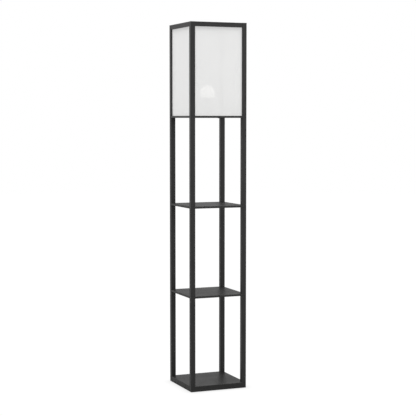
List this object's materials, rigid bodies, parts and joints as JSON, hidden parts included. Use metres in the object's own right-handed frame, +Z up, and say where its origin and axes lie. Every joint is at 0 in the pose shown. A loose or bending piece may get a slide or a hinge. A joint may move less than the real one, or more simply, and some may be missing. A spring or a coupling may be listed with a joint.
{
  "type": "shelf floor lamp",
  "caption": "Square tower floor lamp: slim black posts carry open shelves under a tall white opal shade that is lit from inside.",
  "frame": {"origin": "on the floor under the middle of the base", "axes": "+Z up along the tower, -Y the front face, +X to the right seen from the front"},
  "size_m": [0.26, 0.26, 1.6],
  "materials": {
    "black_wood": "black satin lacquer over a faint straight grain",
    "opal_sheet": "stiff opal sheet, matt on both faces, lit from inside",
    "pad_rubber": "dense black rubber, matt",
    "black_rubber": "smooth black rubber",
    "zinc_steel": "bright zinc plate",
    "black_steel": "black oxide",
    "contact_brass": "rolled brass",
    "white_plastic": "moulded white plastic",
    "white_ceramic": "glazed white steatite",
    "bulb_plastic": "satin white plastic",
    "opal_dome": "opal polycarbonate, glowing",
    "nickel_cap": "nickel-plated screw cap",
    "black_glass": "black glass",
    "tin_solder": "dull solder",
    "board_aluminium": "white-coated aluminium board",
    "led_phosphor": "yellow phosphor",
    "circuit_board": "green circuit board"
  },
  "bodies": {
    "lamp_frame": {"base_board": "black_wood", "base_bolts": "black_steel", "centre_contact": "contact_brass", "cord_grommet": "black_rubber", "floor_pads": "pad_rubber", "holder_base": "white_plastic", "holder_core": "white_ceramic", "holder_screws": "zinc_steel", "holder_shell": "white_plastic", "lamp_deck": "black_wood", "lower_post_fl": "black_wood", "lower_post_fr": "black_wood", "lower_post_rl": "black_wood", "lower_post_rr": "black_wood", "lower_shelf": "black_wood", "middle_post_fl": "black_wood", "middle_post_fr": "black_wood", "middle_post_rl": "black_wood", "middle_post_rr": "black_wood", "post_studs": "zinc_steel", "shade_panel_back": "opal_sheet", "shade_panel_front": "opal_sheet", "shade_panel_left": "opal_sheet", "shade_panel_right": "opal_sheet", "shade_post_fl": "black_wood", "shade_post_fr": "black_wood", "shade_post_rl": "black_wood", "shade_post_rr": "black_wood", "terminal_screws": "contact_brass", "thread_contact": "contact_brass", "thread_inserts": "zinc_steel", "top_rail_back": "black_wood", "top_rail_front": "black_wood", "top_rail_left": "black_wood", "top_rail_right": "black_wood", "upper_post_fl": "black_wood", "upper_post_fr": "black_wood", "upper_post_rl": "black_wood", "upper_post_rr": "black_wood", "upper_shelf": "black_wood"},
    "bulb_lift": {"cap_contact": "tin_solder"},
    "bulb": {"bulb_dome": "opal_dome", "bulb_housing": "bulb_plastic", "bulb_screw_cap": "nickel_cap", "cap_insulator": "black_glass", "led_board": "board_aluminium", "led_chips": "led_phosphor", "driver_board": "circuit_board"}
  },
  "joints": [
    {"name": "bulb_lift", "type": "slide", "parent": "lamp_frame", "child": "bulb_lift", "axis": [0, 0, 1], "range_m": [0, 0.00912]},
    {"name": "bulb_turn", "type": "hinge", "parent": "bulb_lift", "child": "bulb", "pos_m": [0, 0, 1.222], "axis": [0, 0, 1], "range_deg": [0, 900]}
  ],
  "couplings": [
    {"joint": "bulb_lift", "follows": "bulb_turn", "m_per_rad": 0.00057757}
  ]
}
